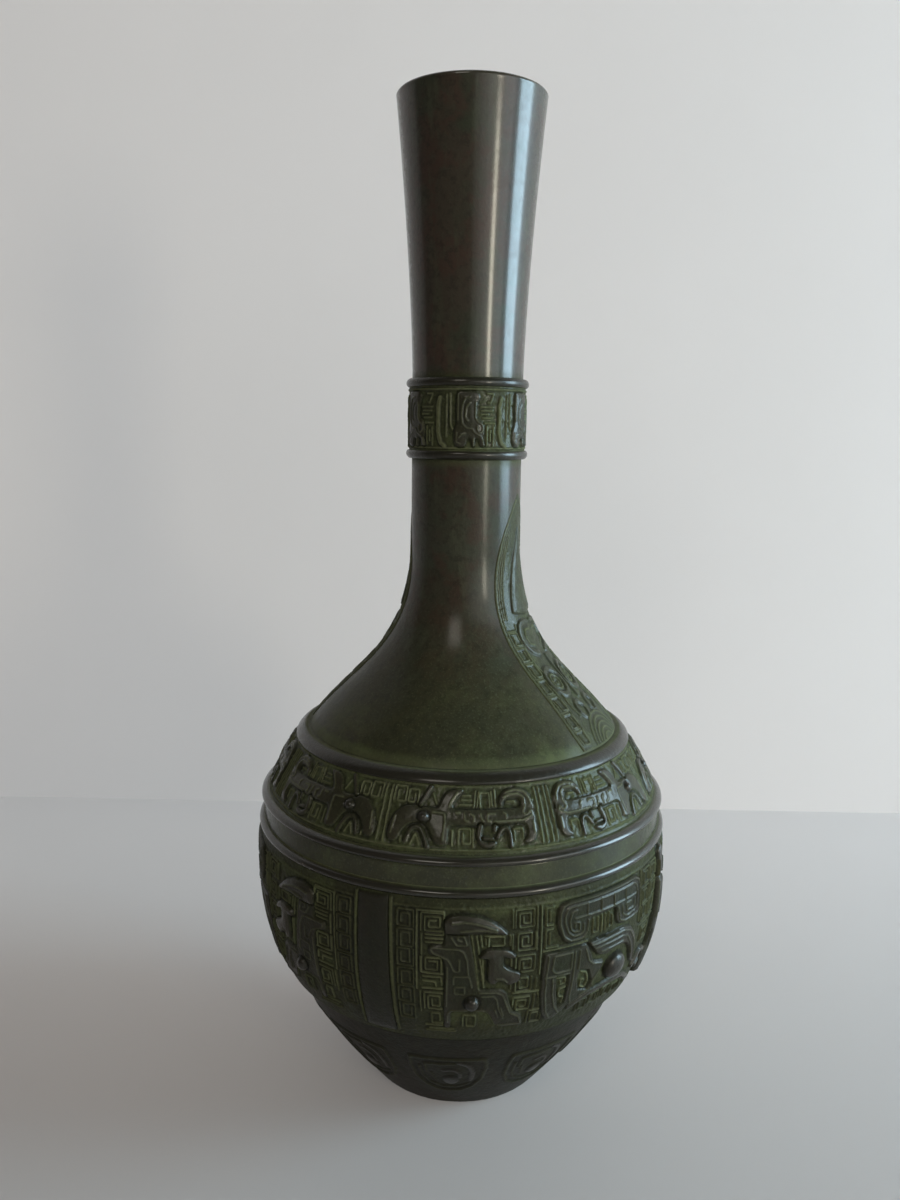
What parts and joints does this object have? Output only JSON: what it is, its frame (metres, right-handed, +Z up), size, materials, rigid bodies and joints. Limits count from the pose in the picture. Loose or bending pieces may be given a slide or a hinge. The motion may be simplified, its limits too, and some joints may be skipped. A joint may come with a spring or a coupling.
{
  "type": "bronze flower vase",
  "caption": "Bottle-shaped cast bronze vase for ikebana: round body with mask and dragon friezes, beaded rings, long collared neck and a flared mouth.",
  "frame": {"origin": "middle of the face that the vase stands on", "axes": "+Z up along the vase's axis, a taotie mask faces -Y, the plain bars are at +X and -X"},
  "size_m": [0.128, 0.131, 0.3],
  "materials": {
    "bronze_brown": "cast bronze with a satin brown black patina, reddish and olive in patches",
    "bronze_green": "cast bronze with green verdigris in the ground and worn brown high points",
    "braze": "dull brass coloured braze fillet",
    "solder": "dull grey tin solder fillet"
  },
  "bodies": {
    "root": {"mouth_neck": "bronze_brown", "neck_collar": "bronze_green", "shoulder": "bronze_brown", "dragon_band": "bronze_green", "waist_ring": "bronze_green", "belly": "bronze_green", "foot_bowl": "bronze_brown", "base_plate": "bronze_brown", "base_solder": "solder", "foot_braze": "braze", "lower_waist_braze": "braze", "upper_waist_braze": "braze", "shoulder_braze": "braze", "lower_collar_braze": "braze", "upper_collar_braze": "braze"}
  },
  "joints": []
}
